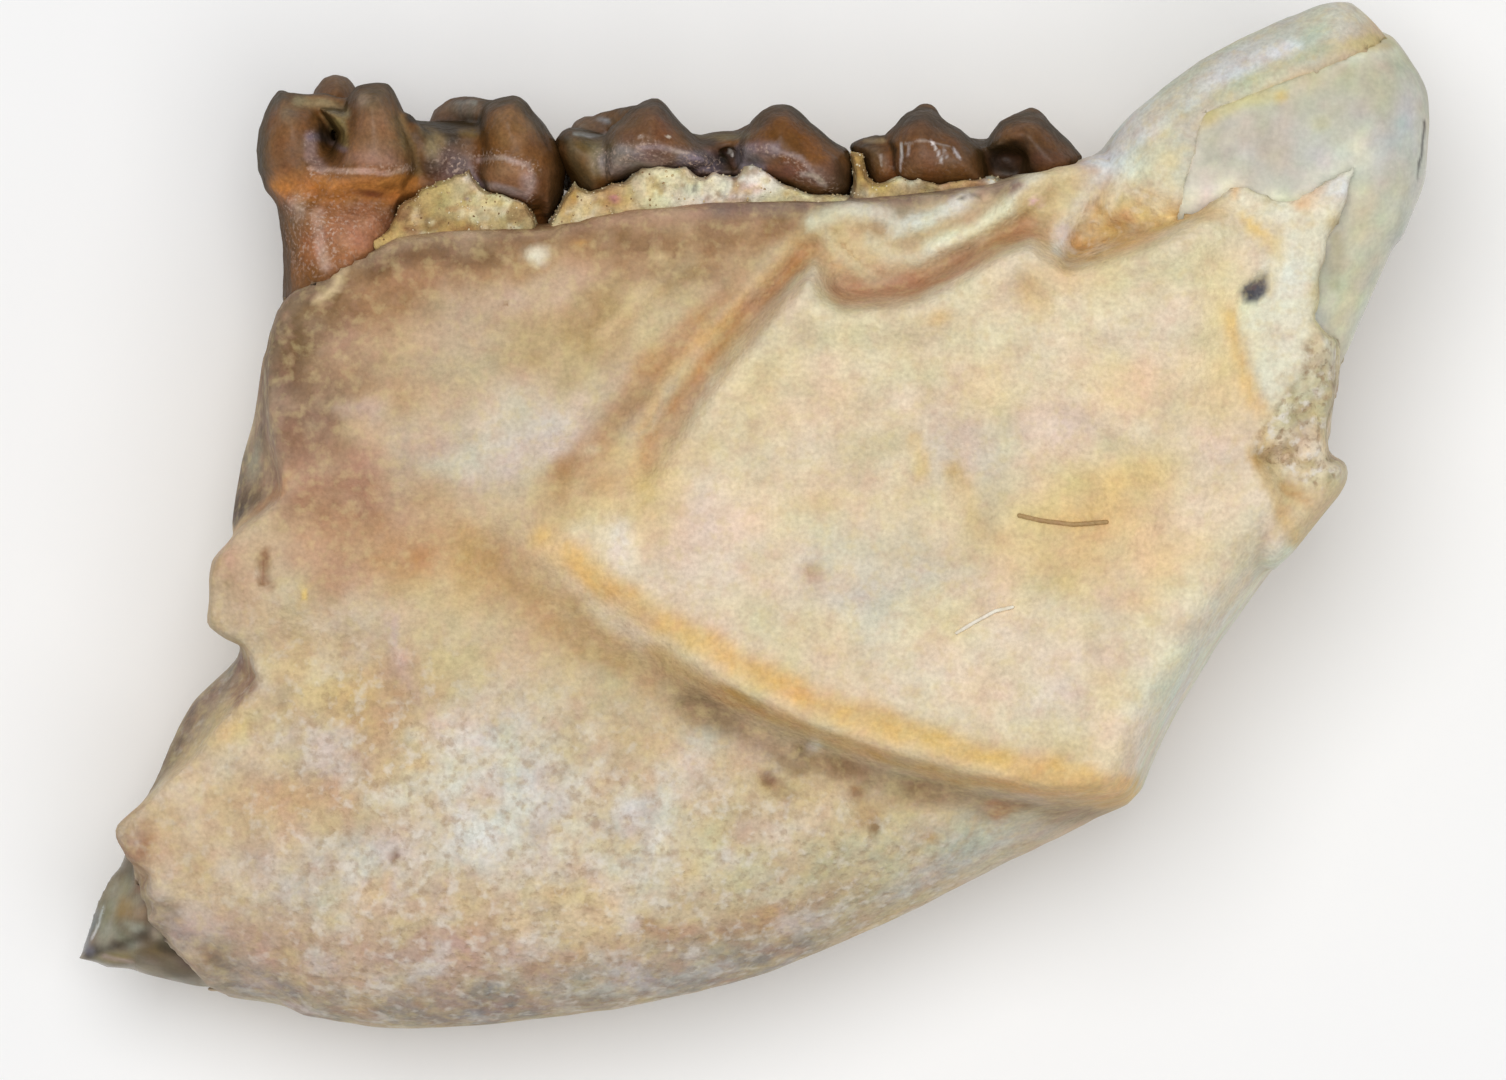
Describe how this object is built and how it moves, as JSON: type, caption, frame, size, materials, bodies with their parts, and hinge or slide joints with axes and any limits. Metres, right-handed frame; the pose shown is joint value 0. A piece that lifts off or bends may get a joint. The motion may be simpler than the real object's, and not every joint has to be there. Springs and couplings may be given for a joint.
{
  "type": "fossil rodent jaw",
  "caption": "Broken left lower jaw of a small fossil rodent, lying on its inner side, with molars, rock caught between them and the curved incisor showing at both ends",
  "frame": {"origin": "middle of the bounding box's bottom, on the surface that the jaw lies on", "axes": "+Z points from the inner side, which it lies on, out to the cheek side; +X runs from the broken front to the back of the jaw; +Y from the lower edge up to the molars"},
  "size_m": [0.0103, 0.0079, 0.0033],
  "materials": {
    "bone": "satin",
    "incisor": "gloss",
    "molar": "gloss",
    "matrix": "matte"
  },
  "bodies": {
    "root": {"jaw_bone": "bone", "incisor": "incisor", "molar_first": "molar", "molar_second": "molar", "molar_third": "molar", "matrix_front": "matrix", "matrix_middle": "matrix", "matrix_rear": "matrix"}
  },
  "joints": []
}
